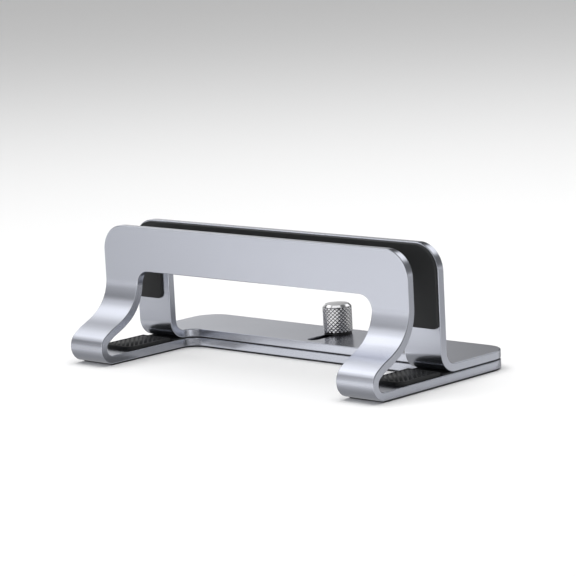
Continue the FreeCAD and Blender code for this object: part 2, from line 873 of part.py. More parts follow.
def knurl_solid(band):
    """A closed band of diamond points: each peak falls to the groove crossings left, right, above and below."""
    steps = 2 * band["count"]
    rings = band["rings"]
    faces = []
    for ring in range(rings):
        for step in range(steps):
            here = knurl_point(band, ring, step)
            beside = knurl_point(band, ring, step + 1)
            above = knurl_point(band, ring + 1, step)
            across = knurl_point(band, ring + 1, step + 1)
            if (ring + step) % 2 == 1:
                faces.append(triangle(here, beside, above))
                faces.append(triangle(beside, across, above))
            else:
                faces.append(triangle(here, beside, across))
                faces.append(triangle(here, across, above))
    low_ring = [knurl_point(band, 0, step) for step in range(steps)]
    high_ring = [knurl_point(band, rings, step) for step in range(steps)]
    for ring_points in (low_ring, high_ring):
        faces.append(Part.Face(Part.makePolygon(ring_points + ring_points[:1])))
    shell = Part.makeShell(faces)
    shell.sewShape()
    solid = Part.Solid(shell)
    if solid.Volume < 0:
        solid.reverse()
    return solid


def make_thumbscrew():
    """A knob with a diamond knurl, and the screw that it turns, in one piece."""
    shank = size("screw_diameter") / 2
    tip = base_low + size("screw_end_gap")
    tip_edge = size("pin_chamfer")
    valley = size("knob_diameter") / 2 - size("knurl_depth")
    land = valley - size("knurl_depth") / 2
    low_edge = size("knob_low_chamfer")
    top_round = size("knob_top_round")
    zero = as_size(0)
    points = [
        (zero, tip),
        (shank - tip_edge, tip),
        (shank, tip + tip_edge),
        (shank, washer_top),
        (land - low_edge, washer_top),
        (land, washer_top + low_edge),
        (land, knob_top),
        (zero, knob_top),
    ]
    blank = turned_body("thumbscrew_blank", points, zero, knob_y)
    fillet(blank, blank.Tip, lambda edge: lies_at_height(edge, knob_top), top_round)
    band = {
        "count": round(size("knurl_count").number),
        "peak": size("knob_diameter").number / 2,
        "valley": valley.number,
        "low": washer_top.number + low_edge.number,
        "high": knob_top.number - top_round.number,
    }
    diamond = 2 * math.pi * band["peak"] / band["count"]
    band["rings"] = max(2, 2 * round((band["high"] - band["low"]) / diamond))
    knurl = doc.addObject("Part::Feature", "thumbscrew_knurl")
    knurl.Shape = knurl_solid(band)
    knurl.Placement = FreeCAD.Placement(Vector(0, knob_y.number, 0), FreeCAD.Rotation())
    screw = doc.addObject("Part::Fuse", "thumbscrew")
    screw.Base = knurl
    screw.Tool = blank
    screw.Label = "thumbscrew"
    doc.recompute()
    return screw


# Build, check and write every piece

PIECES = [
    make_base_frame(),
    make_foot_pad(),
    make_clinch_nut(),
    make_guide_pin("guide_pin_left", -1),
    make_guide_pin("guide_pin_right", 1),
    make_sliding_bracket(),
    make_glide_sheet(),
    make_front_wall_pad(),
    make_rear_wall_pad(),
    make_rest_pad("rest_pad_left", -1),
    make_rest_pad("rest_pad_right", 1),
    make_washer(),
    make_thumbscrew(),
]
doc.recompute()

for item in doc.Objects:
    if "Invalid" in item.State or "Error" in item.State:
        raise RuntimeError(f"{item.Label} did not build: {item.State}")
for piece in PIECES:
    if piece.Shape.isNull() or not piece.Shape.isValid() or not piece.Shape.Solids:
        raise RuntimeError(f"{piece.Label} has no valid solid")

os.makedirs("parts", exist_ok=True)
for piece in PIECES:
    piece.Shape.exportStep(f"parts/{piece.Label}.step")
    box = piece.Shape.BoundBox
    print(f"{piece.Label}: {len(piece.Shape.Solids)} solid, {piece.Shape.Volume:.1f} mm3,",
          f"x {box.XMin:.2f} to {box.XMax:.2f}, y {box.YMin:.2f} to {box.YMax:.2f},",
          f"z {box.ZMin:.2f} to {box.ZMax:.2f}")
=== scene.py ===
import math
from functools import partial

import bmesh
import bpy
from bpy.props import FloatProperty, FloatVectorProperty, IntProperty, PointerProperty
from mathutils import Matrix, Vector
from mathutils.geometry import tessellate_polygon


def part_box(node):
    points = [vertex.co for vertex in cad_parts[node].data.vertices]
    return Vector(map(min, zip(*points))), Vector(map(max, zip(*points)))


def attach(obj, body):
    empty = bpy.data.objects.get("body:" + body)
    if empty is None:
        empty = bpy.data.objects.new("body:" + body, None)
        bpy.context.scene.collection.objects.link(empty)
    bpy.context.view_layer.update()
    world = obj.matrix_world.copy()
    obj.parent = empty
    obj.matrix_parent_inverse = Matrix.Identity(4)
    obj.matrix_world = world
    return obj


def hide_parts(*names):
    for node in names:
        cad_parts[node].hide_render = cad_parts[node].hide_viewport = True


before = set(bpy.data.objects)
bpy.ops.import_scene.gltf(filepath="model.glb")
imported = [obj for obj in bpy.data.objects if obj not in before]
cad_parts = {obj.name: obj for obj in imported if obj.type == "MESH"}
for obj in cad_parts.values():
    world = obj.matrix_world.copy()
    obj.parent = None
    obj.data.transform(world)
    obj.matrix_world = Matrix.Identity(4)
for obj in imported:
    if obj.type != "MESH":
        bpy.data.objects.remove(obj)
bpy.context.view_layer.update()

bl_info = {
    "name": "Vertical laptop stand",
    "version": (1, 0, 0),
    "blender": (4, 5, 0),
    "location": "View3D > Sidebar > Stand",
    "description": "Dresses the frame of a bent aluminium laptop stand: plates, pads and knurled thumbscrew",
    "category": "Object",
}

MM = 0.001

# The kinds of node used most
MATHS = "ShaderNodeMath"
VECTOR = "ShaderNodeCombineXYZ"
VECTOR_MATHS = "ShaderNodeVectorMath"
AXES = "ShaderNodeSeparateXYZ"
RANGE = "ShaderNodeMapRange"
NOISE = "ShaderNodeTexNoise"
MIX = "ShaderNodeMix"
RELIEF = "ShaderNodeBump"
MOVE = "GeometryNodeTransform"
REAL = "GeometryNodeRealizeInstances"
RECTANGLE = "GeometryNodeCurvePrimitiveQuadrilateral"
ROUNDED = "GeometryNodeFilletCurve"

WHITE = (1.0, 1.0, 1.0, 1.0)
BLACK = (0.0, 0.0, 0.0)
MATT = {"Specular IOR Level": 0.0}
SMOOTH = {"interpolation_type": "SMOOTHSTEP"}
# The middle of a noise's range, where most of it lies.
NOISE_SPAN = (0.3, 0.7)

# The sharp under edge of a moulded pad.
MOULD_EDGE = 0.05 * MM
# Enough ribs to cross a rest pad from corner to corner.
RIB_COUNT = 15
# A knurl diamond's flat top as a share of its base, how deep it sinks into the knob, and how far the rows run past
# the start of the bevel, which trims them.
KNURL_FLAT = 0.72
KNURL_SINK = 0.08 * MM
KNURL_OVERLAP = 0.5 * MM

# The dome at the horizon: the elevations between which it falls, and its brightness below and above them.
HORIZON = (0.0, 10.0, 0.72, 0.18)
# The dome's soft lights: azimuth from the front towards the left, elevation, the angles from the middle at which
# they start and stop fading, and brightness, which is below zero where the dome is darker.
SOFT_LIGHTS = (
    (82, 53, 3, 21, 1.66),
    (10, 15, 18, 45, 0.79),
    (119, 12, 8, 27, 0.67),
    (54, 42, 5, 15, 1.15),
    (107, 39, 7, 12, 0.57),
    (-36, 53, 3, 9, 1.15),
    (-99, 8, 15, 41, 0.1),
    (-178, 38, 8, 22, 1.37),
    (167, 19, 15, 44, -0.11),
    (-42, 8, 11, 34, -0.15),
)
# What the plates mirror from below the horizon, where no card lies: the elevations between which it takes over, its
# grey, and its soft lights.
LOWER = (-2.0, -6.0, 0.4)
LOWER_LIGHTS = (
    (-52, -11, 6, 20, 0.85),
    (46, -11, 14, 30, 0.56),
    (-100, -11, 8, 28, -0.34),
    (-5, -11, 10, 28, -0.34),
)
# The floor, by two opposite corners in millimetres.
FLOOR = (-6000, -6000, 6000, 6000)
# The cards that only reflections see: outline in millimetres, either two opposite corners or all of them, height
# and finish. The crown card hangs over the thumbscrew and the others lie just over the floor.
CARDS = {
    "left_card": ((-900, -900, 50, -900, 50, -60, -110, -60, -110, 300, -900, 300), 0.2, "left_card"),
    "right_card": ((103, -60, 900, 900), 0.2, "right_card"),
    "white_card": ((50, -900, 900, -60), 0.2, "studio_floor"),
    "front_card": ((-160, -75, 110, -43), 0.4, "fill_card"),
    "bay_card": ((-30, -43, 57, -8), 0.2, "glowing_card"),
    "rear_card": ((-30, -8, 57, 8), 0.2, "pale_card"),
    "left_corner_card": ((-74, -12, -52, 8), 0.2, "grey_card"),
    "corner_card": ((57, -43, 74, 8), 0.2, "grey_card"),
    "shade_card": ((-74, -43, -30, -22), 0.2, "black_card"),
    "crown_card": ((-56, -1, -22, -38, 61, 41, 27, 77), 174, "glowing_card"),
}
# The overhead softbox: its width and height in metres, and its power in watts.
SOFTBOX_WIDTH, SOFTBOX_HEIGHT, SOFTBOX_POWER = 1.8, 1.5, 20.0
# The camera as fitted to the photograph: place in millimetres, azimuth from the front towards the right, elevation
# and roll in degrees, and focal length and picture width in pixels.
CAMERA_PLACE = (886.946, -936.192, 255.259)
CAMERA_ANGLES = (43.339, 9.577, -2.933)
FOCAL_LENGTH, PICTURE_WIDTH, SENSOR_WIDTH = 2726.75, 576, 36.0


def linear(hex_colour):
    """An sRGB hex colour as the linear values that shaders and lamps take."""
    channels = [int(hex_colour[i:i + 2], 16) / 255 for i in (1, 3, 5)]
    return [c / 12.92 if c <= 0.04045 else ((c + 0.055) / 1.055) ** 2.4 for c in channels]


def length(name, description, millimetres):
    return FloatProperty(name=name, description=description, default=millimetres * MM, min=0.0, unit="LENGTH",
                         precision=5)


def colour(name, description, hex_colour):
    return FloatVectorProperty(name=name, description=description, subtype="COLOR", size=3, min=0.0, max=1.0,
                               default=linear(hex_colour))


class StandSizes(bpy.types.PropertyGroup):
    """Sizes of the bent plates, the pads and the thumbscrew."""

    plate: length("Plate", "Thickness of both bent plates", 4.0)
    rim: length("Rim rounding", "Radius worn onto the plates' cut edges", 0.45)
    leg_width: length("Leg width", "Width of each leg, from the stand's end to its window", 22.3)
    wall_corner: length("Wall corner", "Radius of the walls' top corners", 13.0)
    base_corner: length("Base corner", "Radius of the base's rear corners, seen from above", 12.5)
    window_corner: length("Window corner", "Corner radius of the windows and the bay", 7.5)
    bridge_depth: length("Bridge depth", "From the stand's rear edge to the bay between its legs", 36.4)
    curl: length("Curl", "Outer radius of the curled front edge", 7.7)
    slope: FloatProperty(name="Slope", description="Rise of the front legs behind the curl",
                         default=math.radians(29.0), unit="ROTATION")
    slope_ease: FloatProperty(name="Slope ease", description="How much flatter the slope is in its middle",
                              default=math.radians(6.0), unit="ROTATION")
    hollow: length("Hollow bend", "Front radius of the bend from the slope up to the wall", 20.4)
    front_bar: length("Front bar", "Height of the bar across the front wall", 22.0)
    rear_bar: length("Rear bar", "Height of the bar across the rear wall", 19.8)
    bend: length("Bracket bend", "Outer radius of the bracket's bend", 9.5)
    slot_width: length("Slot width", "Width of the bracket's slot for the thumbscrew", 5.5)
    slide_travel: length("Slide travel", "How far the bracket slides back", 17.5)
    nut_hole: length("Nut hole", "Hole in the base for the clinch nut", 7.24)
    pin_groove: length("Pin groove", "Width of the blind grooves under the bracket's foot", 4.1)
    groove_depth: length("Groove depth", "Depth of the blind grooves under the bracket's foot", 2.2)
    pad_bevel: length("Pad edge", "Radius moulded onto the soft pads' edges", 0.5)
    pad_window_inset: length("Pad inset", "From the window's edge to the rear wall's pad", 4.3)
    pad_leg_end: length("Pad leg end", "Corner radius at the end of the wall pad's legs", 3.0)
    rest_corner: length("Rest pad corner", "Radius of the rest pads' front corners", 5.0)
    rest_border: length("Rest pad border", "Plain border round the ribs of a rest pad", 1.1)
    rib_pitch: length("Rib pitch", "From one rib to the next", 2.2)
    rib_width: length("Rib width", "Width of a rib of a rest pad", 1.3)
    rib_height: length("Rib height", "Height of a rib of a rest pad", 0.3)
    knob_bevel: length("Knob bevel", "Width of the bevel round the knob's top", 1.4)
    knob_bevel_rise: length("Knob bevel rise", "Height of the bevel round the knob's top", 1.35)
    knob_dome: length("Knob dome", "How much the knob's top rises to its middle", 0.3)
    knob_foot: length("Knob foot", "Bevel at the knob's lower edge", 0.15)
    knurl_depth: length("Knurl depth", "Height of the knurl's points", 0.3)
    knurl_count: IntProperty(name="Knurl count", description="Diamonds round the knob", default=22, min=8)
    knurl_rows: IntProperty(name="Knurl rows", description="Diamonds up the knob", default=7, min=2)
    shank: length("Shank", "Diameter of the screw", 5.0)


class StandColours(bpy.types.PropertyGroup):
    """Colours of the stand's finishes, of the floor, and of the cards that paint the plates' reflections."""

    aluminium: colour("Aluminium", "Silver anodised plate", "#c6c9d3")
    silicone: colour("Silicone", "Dark grey pads", "#2c2d2e")
    nickel: colour("Nickel", "Plated thumbscrew", "#dcdcde")
    nylon: colour("Nylon", "Black washer", "#0d0d0e")
    foot_sheet: colour("Foot sheet", "Non-slip sheet under the base", "#232326")
    glide_sheet: colour("Glide sheet", "Slippery sheet under the bracket", "#2b2b2e")
    zinc: colour("Zinc", "Hidden nut and pins", "#b4b4b2")
    floor: colour("Floor", "Pale studio floor", "#fafafa")
    # The cards are seen only in reflections: these greys are painted reflections, never seen by the camera.
    left_card: colour("Left card", "Grey of the card laid left of the stand", "#d1d1d1")
    near_card: colour("Right card, near", "Grey of the right card, beside the stand", "#d6d6d6")
    far_card: colour("Right card, far", "Grey of the right card, away from the stand", "#b4b4b4")


# Finishes

def add_node(tree, kind, sockets=(), **settings):
    """Add a node with its own settings, and fill its sockets, given by name or in their order."""
    node = tree.nodes.new(kind)
    for key, value in settings.items():
        setattr(node, key, value)
    return fill(node, sockets)


def fill(node, sockets):
    """Give sockets a value or link an output to them; a node stands for its first output, a list for several."""
    for key, given in sockets.items() if isinstance(sockets, dict) else enumerate(sockets):
        for value in given if isinstance(given, list) else [given]:
            if isinstance(value, bpy.types.Node):
                value = value.outputs[0]
            if isinstance(value, bpy.types.NodeSocket):
                node.id_data.links.new(value, node.inputs[key])
            else:
                node.inputs[key].default_value = value
    return node


def new_finish(name, base, metallic, roughness, others=None):
    """Make a material; returns its shader, a way to add nodes, and Object coordinates."""
    material = bpy.data.materials.new(name)
    material.use_nodes = True
    material.node_tree.nodes.clear()
    add = partial(add_node, material.node_tree)
    shader = add("ShaderNodeBsdfPrincipled", {
        "Base Color": (*base, 1.0), "Metallic": metallic, "Roughness": roughness, **(others or {})})
    add("ShaderNodeOutputMaterial", {"Surface": shader})
    return shader, add, add("ShaderNodeTexCoord").outputs["Object"]


def roughen(shader, add, cloud, low, high, grain, relief):
    """Vary the roughness with one pattern, and raise another as relief."""
    fill(shader, {"Roughness": add(RANGE, (cloud, *NOISE_SPAN, low, high)),
                  "Normal": add(RELIEF, {"Height": grain, "Distance": relief})})


def blasted_aluminium(name, base):
    # Bent 5000-series plate, glass-bead blasted and clear anodised: a bluish silver with a satin sheen.
    # The blasted grain is about 0.05 mm and is drawn at 0.35 mm, because finer grain doesn't show.
    shader, add, place = new_finish(name, base, 1.0, 0.24)
    grain = add(NOISE, {"Vector": place, "Scale": 1 / (0.35 * MM), "Detail": 2.0, "Roughness": 0.6})
    cloud = add(NOISE, {"Vector": place, "Scale": 1 / (40 * MM), "Detail": 2.0})
    roughen(shader, add, cloud, 0.225, 0.265, grain, 0.0012 * MM)


def moulded_silicone(name, base):
    # Compression-moulded silicone rubber: a soft dark grey that takes a broad dull highlight and a little dust.
    shader, add, place = new_finish(name, base, 0.0, 0.55, {"IOR": 1.43})
    grain = add(NOISE, {"Vector": place, "Scale": 1 / (0.4 * MM), "Detail": 3.0})
    dust = add(NOISE, {"Vector": place, "Scale": 1 / (14 * MM), "Detail": 4.0, "Roughness": 0.65})
    dusty = [c * 1.35 + 0.002 for c in base]
    tint = add(MIX, {0: add(RANGE, (dust, *NOISE_SPAN, 0.0, 0.6)), 6: (*base, 1.0), 7: (*dusty, 1.0)},
               data_type="RGBA")
    fill(shader, {"Base Color": tint.outputs[2]})
    roughen(shader, add, dust, 0.5, 0.62, grain, 0.01 * MM)


def plated_nickel(name, base):
    # Turned and knurled brass with bright nickel plate: neutral, mirror-like, with faint turning rings on its top.
    # The knurl's roots, below the bevel round the top, are painted dark as painted shade, so its points stand out.
    shader, add, place = new_finish(name, base, 1.0, 0.16)
    centred = add("ShaderNodeMapping", {"Vector": place, "Location": tuple(-c for c in foot_of("thumbscrew"))})
    rings = add("ShaderNodeTexWave", {"Vector": centred, "Scale": 1 / (1.4 * MM), "Distortion": 0.4, "Detail": 1.0},
                wave_type="RINGS", rings_direction="Z")
    level = add(VECTOR_MATHS, (centred, (1.0, 1.0, 0.0)), operation="MULTIPLY")
    radius = add(VECTOR_MATHS, (level,), operation="LENGTH").outputs["Value"]
    root = knob_radius() - bpy.context.scene.stand_sizes.knurl_depth
    # Painted shade: near the knurl's root, and below the bevel round the top, the nickel is painted dark.
    root_shade, bevel_shade = 0.09 * MM, 0.2 * MM
    proud = add(RANGE, (radius, root, root + root_shade))
    above = add(RANGE, (add(AXES, (place,)).outputs["Z"], knob_shoulder(), knob_shoulder() + bevel_shade))
    unshaded = add(MATHS, (above, proud), operation="MAXIMUM")
    tint = add(MIX, {0: unshaded, 6: (*[c * 0.12 for c in base], 1.0), 7: (*base, 1.0)}, data_type="RGBA")
    smear = add(NOISE, {"Vector": place, "Scale": 1 / (3 * MM), "Detail": 3.0})
    fill(shader, {"Base Color": tint.outputs[2]})
    roughen(shader, add, smear, 0.1, 0.2, rings.outputs["Fac"], 0.0015 * MM)


def black_nylon(name, base):
    # Moulded nylon washer: black with a waxy edge.
    shader, add, place = new_finish(name, base, 0.0, 0.42, {"IOR": 1.53})
    grain = add(NOISE, {"Vector": place, "Scale": 1 / (0.5 * MM), "Detail": 2.0})
    roughen(shader, add, grain, 0.36, 0.5, grain, 0.004 * MM)


def foam_sheet(name, base, pore):
    # Die-cut sheet, closed-cell foam or flocked film: nearly black and without gloss, with fine pores.
    shader, add, place = new_finish(name, base, 0.0, 0.8, {"IOR": 1.5})
    pores = add("ShaderNodeTexVoronoi", {"Vector": place, "Scale": 1 / pore})
    roughen(shader, add, pores, 0.7, 0.9, pores, 0.03 * MM)


def zinc_plate(name, base):
    # Small zinc-plated steel hardware: pale grey with a cloudy passivated bloom.
    shader, add, place = new_finish(name, base, 1.0, 0.35)
    bloom = add(NOISE, {"Vector": place, "Scale": 1 / (2 * MM), "Detail": 3.0})
    roughen(shader, add, bloom, 0.28, 0.45, bloom, 0.002 * MM)


def studio_floor(name, base):
    # Matt white sweep of paper: no gloss, so it shows only the stand's soft shadow.
    new_finish(name, base, 0.0, 1.0, MATT)


def graded_card(name, near, far, heading, start, end):
    # Matt card that only reflections see, a painted reflection: a soft fade from one grey to another along a
    # direction on the floor.
    shader, add, place = new_finish(name, near, 0.0, 1.0, MATT)
    along = add(VECTOR_MATHS, (place, heading), operation="DOT_PRODUCT").outputs["Value"]
    shade = add(RANGE, (along, start, end), **SMOOTH)
    mix = add(MIX, {0: shade, 6: (*near, 1.0), 7: (*far, 1.0)}, data_type="RGBA")
    fill(shader, {"Base Color": mix.outputs[2]})


def fill_card(name, start, end, glow):
    # Glowing card on the floor at the front legs' toes: it fades from grey under the curl to the floor's white.
    shader, add, place = new_finish(name, BLACK, 0.0, 1.0, {**MATT, "Emission Color": WHITE})
    depth = add(AXES, (place,)).outputs["Y"]
    fill(shader, {"Emission Strength": add(RANGE, (depth, start, end, glow, 1.0))})


def plain_card(name, glow):
    # Evenly glowing card, in the bay and over the thumbscrew, for the base's edge and the thumbscrew to mirror.
    new_finish(name, BLACK, 0.0, 1.0, {**MATT, "Emission Color": WHITE, "Emission Strength": glow})


def finish(name):
    """The stand's finishes, the floor's, and those of the cards that paint reflections and glows, each made once.
    """
    colours = bpy.context.scene.stand_colours
    maker, *given = {
        "blasted_aluminium": (blasted_aluminium, colours.aluminium),
        "moulded_silicone": (moulded_silicone, colours.silicone),
        "plated_nickel": (plated_nickel, colours.nickel),
        "black_nylon": (black_nylon, colours.nylon),
        "foam_foot_sheet": (foam_sheet, colours.foot_sheet, 0.6 * MM),
        "flocked_glide_sheet": (foam_sheet, colours.glide_sheet, 0.3 * MM),
        "zinc_plate": (zinc_plate, colours.zinc),
        "studio_floor": (studio_floor, colours.floor),
        "left_card": (graded_card, colours.left_card, colours.floor, (0.613, -0.79, 0.0), -0.035, 0.105),
        "right_card": (graded_card, colours.near_card, colours.far_card, (1.0, 0.0, 0.0), 0.105, 0.2),
        "fill_card": (fill_card, -0.05, -0.074, 0.36),
        "glowing_card": (plain_card, 1.2),
        "pale_card": (plain_card, 0.95),
        "grey_card": (plain_card, 0.35),
        "black_card": (plain_card, 0.1),
    }[name]
    if name not in bpy.data.materials:
        maker(name, *given)
    return bpy.data.materials[name]


# Outlines

def rounded_walk(corners, closed=True, step=math.radians(5)):
    """Walk round corners given as (x, y, radius), with the material on the left.

    Returns points with the direction that faces away from the material.
    """
    count = len(corners)
    walk = []
    for i, (x, y, radius) in enumerate(corners):
        here = Vector((x, y))
        if not closed and i in (0, count - 1):
            other = Vector(corners[1 if i == 0 else count - 2][:2])
            heading = (other - here if i == 0 else here - other).normalized()
            walk.append((here, Vector((heading.y, -heading.x))))
            continue
        into = (here - Vector(corners[i - 1][:2])).normalized()
        out = (Vector(corners[(i + 1) % count][:2]) - here).normalized()
        turn = math.atan2(into.x * out.y - into.y * out.x, into.dot(out))
        start = here - into * radius * math.tan(abs(turn) / 2)
        side = math.copysign(1.0, turn)
        centre = start + Vector((-into.y, into.x)) * radius * side
        pieces = max(2, math.ceil(abs(turn) / step))
        heading = math.atan2(into.y, into.x)
        for k in range(pieces + 1):
            angle = heading + turn * k / pieces
            away = Vector((math.sin(angle), -math.cos(angle)))
            walk.append((centre + away * radius * side, away))
    # Where two roundings meet without a straight between them, their shared point is kept once.
    return [walk[i] for i in range(len(walk))
            if (i == 0 and not closed) or (walk[i][0] - walk[i - 1][0]).length > 1e-8
            or walk[i][1].dot(walk[i - 1][1]) < 0.99]


def rim_section(low, high, low_round, high_round, pieces=4):
    """The section of a plate's rim as (inset, height, facing out, facing up), from its under face to its top."""
    turns = [math.pi / 2 * k / pieces for k in range(pieces + 1)]
    under = [(low_round * (1 - math.sin(a)), low + low_round * (1 - math.cos(a)), math.sin(a), -math.cos(a))
             for a in turns]
    over = [(high_round * (1 - math.cos(a)), high - high_round * (1 - math.sin(a)), math.cos(a), math.sin(a))
            for a in turns]
    return under + over


def box_corners(x0, y0, x1, y1, low_radius, high_radius):
    """Corners of an upright rectangle, walked with its inside on the left."""
    return [(x0, y0, low_radius), (x1, y0, low_radius), (x1, y1, high_radius), (x0, y1, high_radius)]


def as_hole(corners):
    """The same outline walked the other way, so that its inside is empty."""
    return corners[::-1]


# Meshes

def new_object(name, data):
    """An object of the scene, at the origin."""
    item = bpy.data.objects.new(name, data)
    bpy.context.scene.collection.objects.link(item)
    return item


class Shell:
    """A closed mesh that keeps, at every point, the direction its surface faces."""

    def __init__(self):
        self.mesh = bmesh.new()
        self.facing = self.mesh.verts.layers.float_vector.new("facing")

    def point(self, place, facing):
        vert = self.mesh.verts.new(place)
        vert[self.facing] = facing
        return vert

    def ring(self, walk, inset, height, out, up):
        return [self.point((p.x - n.x * inset, p.y - n.y * inset, height), (n.x * out, n.y * out, up))
                for p, n in walk]

    def band(self, low, high):
        for i in range(len(low)):
            j = (i + 1) % len(low)
            self.mesh.faces.new((low[i], low[j], high[j], high[i]))

    def cap(self, rings, faces_up):
        """Fill the flat between an outline and its holes."""
        corners = [vert for ring in rings for vert in ring]
        for triangle in tessellate_polygon([[vert.co for vert in ring] for ring in rings]):
            a, b, c = (corners[i] for i in triangle)
            rises = (b.co - a.co).cross(c.co - a.co).z > 0
            self.mesh.faces.new((a, b, c) if rises == faces_up else (a, c, b))

    def slab(self, walks, section, pockets=()):
        """Sweep a rim section round every outline and close both faces; pockets open only in the under face."""
        under, top = [], []
        for walk in walks:
            rings = [self.ring(walk, *row) for row in section]
            for low, high in zip(rings, rings[1:]):
                self.band(low, high)
            under.append(rings[0])
            top.append(rings[-1])
        for walk, depth in pockets:
            mouth, wall_low, wall_high, floor = (
                self.ring(walk, 0.0, section[0][1] + lift, out, up)
                for lift, out, up in ((0.0, 0.0, -1.0), (0.0, 1.0, 0.0), (depth, 1.0, 0.0), (depth, 0.0, -1.0)))
            self.band(wall_low, wall_high)
            self.cap([floor], False)
            under.append(mouth)
        self.cap(under, False)
        self.cap(top, True)

    def slice(self, levels):
        """Cut across the slab so that it can bend there."""
        for level in levels:
            mesh = self.mesh
            bmesh.ops.bisect_plane(mesh, geom=mesh.verts[:] + mesh.edges[:] + mesh.faces[:], dist=1e-7,
                                   plane_co=(0, level, 0), plane_no=(0, 1, 0))

    def move(self, place):
        """Take every point and its facing to their place; place(point) gives an origin and three directions."""
        for vert in self.mesh.verts:
            origin, across, along, up = place(vert.co)
            facing = vert[self.facing]
            vert.co = origin
            vert[self.facing] = (across * facing.x + along * facing.y + up * facing.z).normalized()

    def finished(self, name, material):
        """A smooth-shaded object at the origin, shaded by the facing kept at its points."""
        bmesh.ops.triangulate(self.mesh, faces=self.mesh.faces[:])
        data = bpy.data.meshes.new(name)
        facings = [Vector(vert[self.facing]) for vert in self.mesh.verts]
        self.mesh.verts.layers.float_vector.remove(self.facing)
        self.mesh.to_mesh(data)
        self.mesh.free()
        data.shade_smooth()
        data.normals_split_custom_set_from_vertices(facings)
        data.materials.append(finish(material))
        return new_object(name, data)


class BendPath:
    """The middle of a bent plate, seen from its end, as straights and arcs walked from its rear edge."""

    def __init__(self, start, heading):
        self.legs = []
        self.point = Vector(start)
        self.heading = heading
        self.length = 0.0

    def straight(self, run, turn=0.0):
        self.legs.append((self.length, run, self.point, self.heading, turn))
        self.length += run
        self.point, self.heading = self.walk(-1, self.length)

    def arc(self, radius, turn):
        """Turn by an angle, positive to the left."""
        self.straight(radius * abs(turn), turn)

    def walk(self, index, level):
        """The point and the heading at a distance along the path, on one of its legs."""
        start, run, point, heading, turn = self.legs[index]
        if not turn:
            return point + Vector((math.cos(heading), math.sin(heading))) * (level - start), heading
        radius = run / abs(turn)
        side = math.copysign(1.0, turn)
        centre = point + Vector((-math.sin(heading), math.cos(heading))) * radius * side
        angle = heading + turn * (level - start) / run
        return centre + Vector((math.sin(angle), -math.cos(angle))) * radius * side, angle

    def slices(self, step=math.radians(2.5)):
        levels = []
        for start, run, _, _, turn in self.legs:
            if turn:
                pieces = math.ceil(abs(turn) / step)
                levels += [start + run * k / pieces for k in range(pieces + 1)]
        return levels

    def place(self, co):
        """Bend a flat point onto the path: x across the stand, y along the path, z through the plate."""
        middle, heading = self.walk(sum(leg[0] <= co.y + 1e-9 for leg in self.legs[1:]), co.y)
        along = Vector((0, math.cos(heading), math.sin(heading)))
        up = Vector((0, math.sin(heading), -math.cos(heading)))
        origin = Vector((-co.x, middle.x, middle.y)) + up * co.z
        return origin, Vector((-1, 0, 0)), along, up


def turned(name, walk, centre, material, closed=False, steps=96):
    """Turn a section, walked from the axis below to the axis above, about an upright axis."""
    shell = Shell()
    rings = []
    for p, n in walk:
        if p.x < 1e-9:
            rings.append([shell.point((0, 0, p.y), (0, 0, n.y))])
            continue
        rings.append([shell.point((p.x * math.cos(a), p.x * math.sin(a), p.y),
                                  (n.x * math.cos(a), n.x * math.sin(a), n.y))
                      for a in (2 * math.pi * k / steps for k in range(steps))])
    pairs = list(zip(rings, rings[1:])) + ([(rings[-1], rings[0])] if closed else [])
    for low, high in pairs:
        for i in range(steps):
            j = (i + 1) % steps
            corners = [low[i % len(low)], low[j % len(low)], high[j % len(high)], high[i % len(high)]]
            shell.mesh.faces.new(list(dict.fromkeys(corners)))
    for vert in shell.mesh.verts:
        vert.co += Vector(centre)
    return shell.finished(name, material)


# Places read from the frame

def high_of(node):
    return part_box(node)[1]


def foot_of(node):
    """The middle of a piece's underside."""
    low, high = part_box(node)
    return ((low.x + high.x) / 2, (low.y + high.y) / 2, low.z)


def knob_radius():
    low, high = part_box("thumbscrew")
    return (high.x - low.x) / 2


def knob_shoulder():
    """The height at which the bevel round the knob's top begins."""
    s = bpy.context.scene.stand_sizes
    return high_of("thumbscrew").z - s.knob_dome - s.knob_bevel_rise


def half_length():
    return high_of("base_frame").x


def leg_inner():
    return half_length() - bpy.context.scene.stand_sizes.leg_width


class PieceOperator:
    """What the stand's operators have in common."""

    bl_options = {"REGISTER", "UNDO"}


def bent_plate(name, path, bar, hole, pockets=()):
    """A flat plate with a window below its bar and one more hole, bent onto its path."""
    s = bpy.context.scene.stand_sizes
    x, inner = half_length(), leg_inner()
    outline = box_corners(-x, 0.0, x, path.length, s.base_corner, s.wall_corner)
    window = box_corners(-inner, s.bridge_depth, inner, path.length - bar, s.window_corner, s.window_corner)
    shell = Shell()
    # The flat's z runs to the plate's upper side on the table, so the pockets open downwards.
    shell.slab([rounded_walk(corners) for corners in (outline, as_hole(window), as_hole(hole))],
               rim_section(-s.plate / 2, s.plate / 2, s.rim, s.rim),
               [(rounded_walk(as_hole(pocket)), s.groove_depth) for pocket in pockets])
    shell.slice(path.slices())
    shell.move(path.place)
    return shell.finished(name, "blasted_aluminium")


